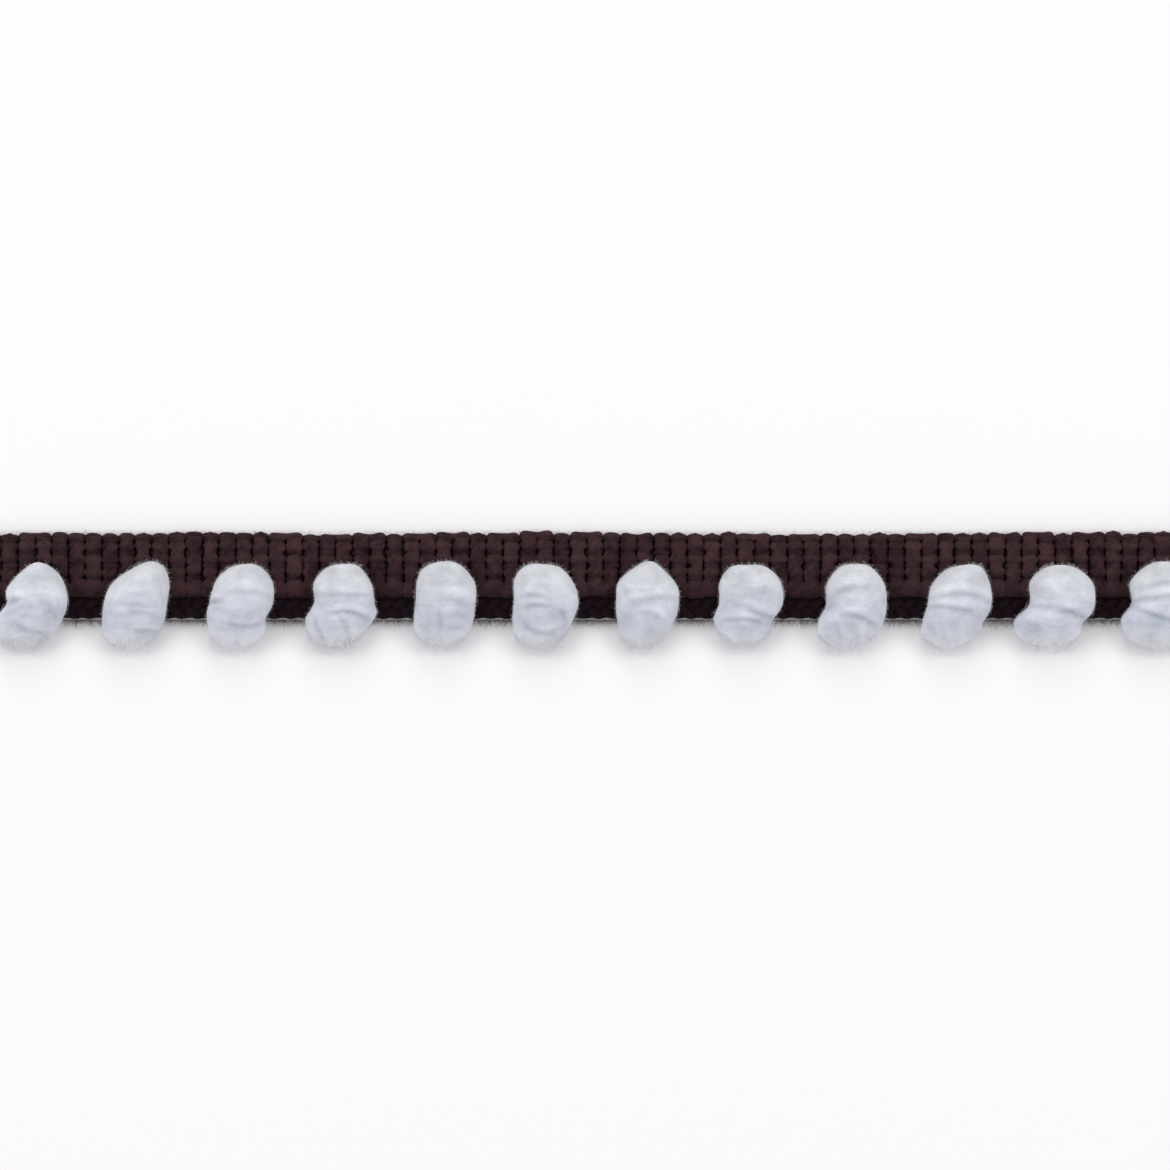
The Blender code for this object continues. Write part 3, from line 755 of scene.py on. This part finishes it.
def sides_of(outline):
    """The two sides of an outline, from its top to its bottom, at every ring."""
    loop = np.array([outline.top, *outline.right, outline.bottom, *reversed(outline.left)]) * MM
    count = len(loop)
    spots = np.arange(0, count, (len(outline.right) + 1) / RINGS)
    at = spots.astype(int)
    points = [loop[(at + shift) % count] for shift in (-1, 0, 1, 2)]
    curve = between(*points, (spots - at)[:, None])
    right = curve[: RINGS + 1]
    left = np.concatenate([curve[:1], curve[: RINGS - 1 : -1]])
    return right, left


def fold_relief(folds, place):
    """How deep the folds sink each place of the face, with a soft lip above each of them."""
    relief = np.zeros(place.shape[:-1])
    for fold in folds:
        start = np.array([fold.right, fold.up])
        chord = np.array([fold.right_end, fold.up_end]) - start
        length = np.linalg.norm(chord)
        along = chord / length
        aside = np.array([-along[1], along[0]])
        if aside[1] < 0:
            aside = -aside
        offset = place / MM - start
        share = offset @ along / length
        inside = np.clip(share, 0, 1)
        beyond = np.abs(share - inside) * length
        off = (offset @ aside - fold.bow * 4 * inside * (1 - inside)) / fold.width
        fade = np.sin(np.pi * np.clip(0.12 + 0.76 * inside, 0, 1))
        fade = fade * np.exp(-((beyond / FOLD_FADE) ** 2))
        groove = np.exp(-(off**2)) - LIP_SHARE * np.exp(-(((off - LIP_OFF) / LIP_WIDTH) ** 2))
        relief -= FOLD_SHARE * fold.depth * MM * groove * fade
    return relief


def painted_light_tone(across):
    """How pale the tow is painted across the trim: palest at the lower end of a pompom, as painted
    light, and a little darker at its waist and its upper end, as painted shade."""
    reach = (np.asarray(across) - TIE_ACROSS) / LOBE_REACH
    # Painted shade at the waist and the upper end, and painted light at the lower end.
    waist = 0.06 * smooth_step(0.35, -0.05, reach)
    upper_end = 0.13 * smooth_step(0.3, 0.9, reach)
    lower_end = 0.36 * smooth_step(-0.3, -0.85, reach)
    lobes = 0.36
    return lobes - waist - upper_end + lower_end


def round_form(outline, turn):
    """A pompom before its folds, about its tie: a place for each ring and turn, and how wide it
    is there as a share of the widest."""
    right, left = sides_of(outline)
    middle, half = (right + left) / 2, (right - left) / 2
    width = np.linalg.norm(half, axis=1) / WIDEST
    flat = middle[:, None] + half[:, None] * np.sin(turn)[..., None]
    reach = middle[:, 1] / LOBE_REACH
    slump = 1 - (1 - END_DEPTH) * smooth_step(-0.2, -0.9, reach)
    depth = FACE_DEPTH * width**ROUNDNESS * slump
    drop = np.where(reach > 0, UPPER_LIFT * reach, -LOWER_SAG * reach)
    height = TIE_HEIGHT + drop[:, None] + depth[:, None] * np.cos(turn)
    return np.concatenate([flat, height[..., None]], axis=-1), width[:, None]


def outward(place):
    """The outward side of a round form at each ring and turn."""
    down = np.gradient(place, axis=0)
    round_way = (np.roll(place, -1, axis=1) - np.roll(place, 1, axis=1)) / 2
    normal = np.cross(down, round_way)
    normal[0] = normal[1].mean(axis=0)
    normal[-1] = normal[-2].mean(axis=0)
    normal = unit(normal)
    return normal if normal[RINGS // 2, 0, 2] > 0 else -normal


def tow_relief(uneven, turn):
    """The unevenness of wound tow: soft lumps, with fine crimps that show only here and there."""
    run = np.linspace(1, -1, RINGS + 1)[:, None] * LOBE_REACH * WOUND_SPAN
    lumps = waves(uneven, turn, run / LOBE_REACH, amount=8, finest=5)
    bends = waves(uneven, turn, run / LOBE_REACH, amount=4, finest=5)
    phase = run / CRIMP_LENGTH * TURN + 2.2 * bends
    shown = smooth_step(-0.9, 0.9, waves(uneven, turn, run / LOBE_REACH, amount=5, finest=6))
    crimps = np.sin(phase) * shown + 0.4 * np.sin(2.3 * phase + 3 * turn)
    return LUMP_DEPTH * lumps + CRIMP_DEPTH * crimps


def press(place):
    """Lifts the places that would be lower than what carries them, with a soft bend."""
    floor = seat(place)
    over = (place[..., 2] - floor) / PRESS_SOFTNESS
    pressed = np.log1p(np.exp(np.minimum(over, CLEAR)))
    place[..., 2] = floor + PRESS_SOFTNESS * np.where(over > CLEAR, over, pressed)


def tow_surface(number):
    """The surface of a pompom: a place, an outward side and a tone for each ring and segment."""
    uneven = np.random.default_rng(100 + number)
    turn = (np.arange(SEGMENTS) / SEGMENTS * TURN)[None, :]
    place, width = round_form(OUTLINES[number], turn)
    normal = outward(place)
    face = smooth_step(-0.15, 0.35, normal[..., 2])  # folds show on the face only
    creases = fold_relief(FOLDS[number], place[..., :2]) * face
    calm = np.sqrt(np.clip(width, 0, 1))
    relief = tow_relief(uneven, turn) * calm + creases
    tie = [(number - (POMPOM_COUNT - 1) / 2) * POMPOM_PITCH, TIE_ACROSS, 0]
    place = place + normal * relief[..., None] + tie
    press(place)
    # Painted light at the pompom's ends and painted shade in its creases go into its tones.
    tones = painted_light_tone(place[..., 1]) + CREASE_PAINTED_SHADE * creases / MM
    return place, normal, tones


def build_body(number, place, tones):
    """The felted body of a pompom: a sphere, with its rings and segments moved to the places."""
    bpy.ops.mesh.primitive_uv_sphere_add(segments=SEGMENTS, ring_count=RINGS, radius=1.0)
    body = bpy.context.object
    body.name = f"pompom_body_{number + 1:02d}"
    mesh = body.data
    shown = []
    for vert in mesh.vertices:
        x, y, z = vert.co
        ring = round(math.acos(max(-1.0, min(1.0, z))) / math.pi * RINGS)
        segment = round(math.atan2(x, y) / TURN * SEGMENTS) % SEGMENTS
        vert.co = place[ring, segment]
        shown.append(tones[ring, segment])
    tone = mesh.attributes.new("tone", "FLOAT", "POINT")
    tone.data.foreach_set("value", shown)
    mesh.materials.append(TOW)
    bpy.ops.object.mode_set(mode="EDIT")
    bpy.ops.mesh.select_all(action="SELECT")
    bpy.ops.mesh.normals_make_consistent(inside=False)
    bpy.ops.object.mode_set(mode="OBJECT")
    mesh.shade_smooth()
    return body


LAID_FIBRES, LOOSE_FIBRES = 300, 2900
FIBRE_TONES_AND_PAINTED_LIGHT = (0.1, 0.3)  # how much paler a fibre is than the tow under it, at random: painted light against the shade on thin fibres
FIBRE_TAPER = 0.6  # how much thinner a fibre's tip is than its root
# Fibres that lie on the tow.
LAID_RINGS = (6, 18)  # how many rings a laid fibre crosses
LAID_DRIFT = 7  # how many segments it strays to either side
LAID_WAVES, LAID_SWAY = (5, 12), (0.3, 1.0)  # its crimp, in radians and in segments
LAID_LOFT = (-0.006, 0.012)  # how high it lies on the tow, in mm
LAID_RADIUS = (0.008 * MM, 0.014 * MM)
STRAY_SHARE = 0.2  # of the laid fibres have an end that stands off
STRAY_LOFT, SETTLED_LOFT = (0.1, 0.4), 0.02  # how far off such an end is, or else is not, in mm
# Fibres that stand off it.
LOOSE_LENGTH = (0.12 * MM, 0.45 * MM)
LOOSE_RADIUS = (0.005 * MM, 0.010 * MM)
LOOSE_LOW_SHARE = 0.45  # of the loose fibres are on the lower end
LOOSE_ROUND = 0.38  # how far round from the face they stand, in turns: none are on the back
LOOSE_ROOT = 0.02 * MM  # how deep a loose fibre is rooted
LOOSE_LEAN, LOOSE_CURL = (0.4, 1.6), (0.1, 0.5)
DROOP = np.array([0.0, -2.0, -0.9])  # which way the loose fibres of the lower end turn


def on_surface(grid, ring, segment):
    """The grid's value at places between its rings and segments."""
    ring = np.clip(ring, 0, RINGS - 1e-6)
    low_ring, low_segment = ring.astype(int), np.floor(segment).astype(int)
    a, b = (ring - low_ring)[..., None], (segment - low_segment)[..., None]
    here, there = low_segment % SEGMENTS, (low_segment + 1) % SEGMENTS
    near = grid[low_ring, here] * (1 - b) + grid[low_ring, there] * b
    far = grid[low_ring + 1, here] * (1 - b) + grid[low_ring + 1, there] * b
    return near * (1 - a) + far * a


def lay_fibres(uneven, count, surface, normals):
    """Fibres that run a little way along the tow, some of them with an end that stands off."""
    steps = np.linspace(0, 1, 5)
    start = np.arccos(uneven.uniform(-0.85, 0.85, count)) / math.pi * RINGS
    length = uneven.uniform(*LAID_RINGS, count) * uneven.choice([-1, 1], count)
    ring = np.clip(start[:, None] + length[:, None] * steps, 0.06 * RINGS, 0.94 * RINGS)
    spot = uneven.uniform(0, SEGMENTS, count)[:, None]
    segment = spot + uneven.normal(0, LAID_DRIFT, count)[:, None] * steps
    rate = uneven.uniform(*LAID_WAVES, count)[:, None]
    crimp = np.sin(steps * rate + uneven.uniform(0, TURN, count)[:, None])
    segment = segment + uneven.uniform(*LAID_SWAY, count)[:, None] * crimp
    place = on_surface(surface, ring, segment)
    normal = unit(on_surface(normals, ring, segment))
    loft = uneven.uniform(*LAID_LOFT, count)[:, None] * MM
    strays = uneven.random(count) < STRAY_SHARE
    end = np.where(strays, uneven.uniform(*STRAY_LOFT, count), SETTLED_LOFT)[:, None] * MM
    place = place + normal * (loft + end * steps**2)[..., None]
    radius = uneven.uniform(*LAID_RADIUS, count)[:, None] * (1 - FIBRE_TAPER * steps**2)
    return place, normal, radius


def raise_fibres(uneven, count, surface, normals):
    """Short fibre ends that stand out of the tow every way and make its edge soft. On the lower
    end, where the tow was cut, they are longer, and hang down and away."""
    steps = np.linspace(0, 1, 3)
    lowest = uneven.random(count) < LOOSE_LOW_SHARE
    ring = np.arccos(uneven.uniform(-0.995, np.where(lowest, -0.75, 0.99))) / math.pi * RINGS
    segment = uneven.uniform(-LOOSE_ROUND, LOOSE_ROUND, count) * SEGMENTS
    root = on_surface(surface, ring, segment)[:, None]
    out = unit(on_surface(normals, ring, segment))
    aside = unit(np.cross(out, uneven.normal(0, 1, (count, 3))))
    lean = uneven.uniform(*LOOSE_LEAN, count)[:, None]
    reach = (root[..., 1] - TIE_ACROSS) / LOBE_REACH
    low_end = smooth_step(-0.4, -0.75, reach)
    way = unit(out + lean * aside + low_end * DROOP)[:, None]
    longer = 2.5 * low_end + 0.4 * smooth_step(0.6, 0.95, reach)
    length = uneven.uniform(*LOOSE_LENGTH, count)[:, None] * (1 + longer)
    curl = unit(np.cross(way[:, 0], uneven.normal(0, 1, (count, 3))))[:, None]
    run = (length * steps)[..., None]
    bend = (uneven.uniform(*LOOSE_CURL, count)[:, None] * length * steps**2)[..., None]
    place = root - LOOSE_ROOT * out[:, None] + way * run + curl * bend
    place[..., 2] = np.maximum(place[..., 2], LOWEST_FIBRE)
    normal = np.broadcast_to(unit(np.cross(way, curl)), place.shape)
    radius = uneven.uniform(*LOOSE_RADIUS, count)[:, None] * (1 + 0.3 * longer)
    return place, normal, radius * (1 - FIBRE_TAPER * steps)


def build_fibres(number, surface, normals):
    """The fibres on a pompom's surface."""
    uneven = np.random.default_rng(200 + number)
    share = 1.0
    tubes = Tubes()
    for make, amount in ((lay_fibres, LAID_FIBRES), (raise_fibres, LOOSE_FIBRES)):
        place, normal, radius = make(uneven, int(share * amount), surface, normals)
        # The fibres take the tow's painted tones, and are painted paler still.
        tones = painted_light_tone(place[:, 0, 1]) + uneven.uniform(*FIBRE_TONES_AND_PAINTED_LIGHT, len(place))
        tubes.add(place, normal, radius, radius, FIBRE_SIDES, tones)
    return tubes.piece(f"pompom_fibres_{number + 1:02d}", TOW_FIBRE)


# ---------------------------------------------------------------- everything in its place

ribs, turns, warp, foot = build_ribs(), build_turns(), build_warp(), build_foot()
lint_and_shade, ground = build_lint_and_painted_shade(), build_ground()
for piece in (ribs, turns, warp, foot, lint_and_shade, ground):
    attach(piece, BODY)
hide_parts("heading")
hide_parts("foot_chain")
for number in range(POMPOM_COUNT):
    surface, normals, tones = tow_surface(number)
    body = build_body(number, surface, tones)
    fibres = build_fibres(number, surface, normals)
    for piece in (body, fibres):
        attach(piece, BODY)
    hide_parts(f"pompom_{number + 1:02d}")

# ---------------------------------------------------------------- floor, light and camera

IMAGE_SIDE = 1170  # in pixels
PIXEL = 0.114 * MM
ORIGIN_AT = (595, 565.5)  # the part's origin in the image, in pixels from its top left corner
LENS = 200.0  # in mm: long, so that the trim's ends look as straight down as its middle
FACE_HEIGHT = 1.5 * MM  # the height that is in true scale
SKY = 0.54
LAMP_SIZE = 0.65
LAMPS = (  # name, place in metres and watts
    ("top box", (0.0, 0.82, 0.72), 2.1),
    ("left box", (-0.72, 0.08, 0.82), 3.8),
    ("right box", (0.72, 0.08, 0.82), 3.8),
)


def add_lamp(name, place, watts):
    """A round soft lamp that faces the trim."""
    lamp = bpy.data.lights.new(name, "AREA")
    lamp.shape = "DISK"
    lamp.size = LAMP_SIZE
    lamp.energy = watts
    box = new_object(name, lamp)
    box.location = place
    box.rotation_euler = (-box.location).to_track_quat("-Z", "Y").to_euler()


def build_stage():
    """A floor of matt white paper, an even sky and three soft lamps."""
    bpy.ops.mesh.primitive_plane_add(size=6.0, location=(0, 0, 0))
    floor = bpy.context.object
    floor.name = "floor"
    paper, _, shader = new_material("white paper")
    set_inputs(shader, Base_Color=linear("F4F2F3"), Roughness=1.0, Specular_IOR_Level=0.0)
    floor.data.materials.append(paper)
    world = bpy.data.worlds.new("studio")
    bpy.context.scene.world = world
    world.use_nodes = True
    set_inputs(world.node_tree.nodes["Background"], Color=(1, 1, 1, 1), Strength=SKY)
    for lamp in LAMPS:
        add_lamp(*lamp)


def build_camera():
    """A camera that looks straight down, with the whole image's width in true scale."""
    data = bpy.data.cameras.new("camera")
    data.lens = LENS
    data.clip_end = 20
    camera = new_object("camera", data)
    right = (IMAGE_SIDE / 2 - ORIGIN_AT[0]) * PIXEL
    up = (ORIGIN_AT[1] - IMAGE_SIDE / 2) * PIXEL
    distance = IMAGE_SIDE * PIXEL * data.lens / data.sensor_width
    camera.location = (right, up, distance + FACE_HEIGHT)
    camera.rotation_euler = (0, 0, 0)
    bpy.context.scene.camera = camera


build_stage()
build_camera()
bpy.context.scene.view_settings.view_transform = "Standard"
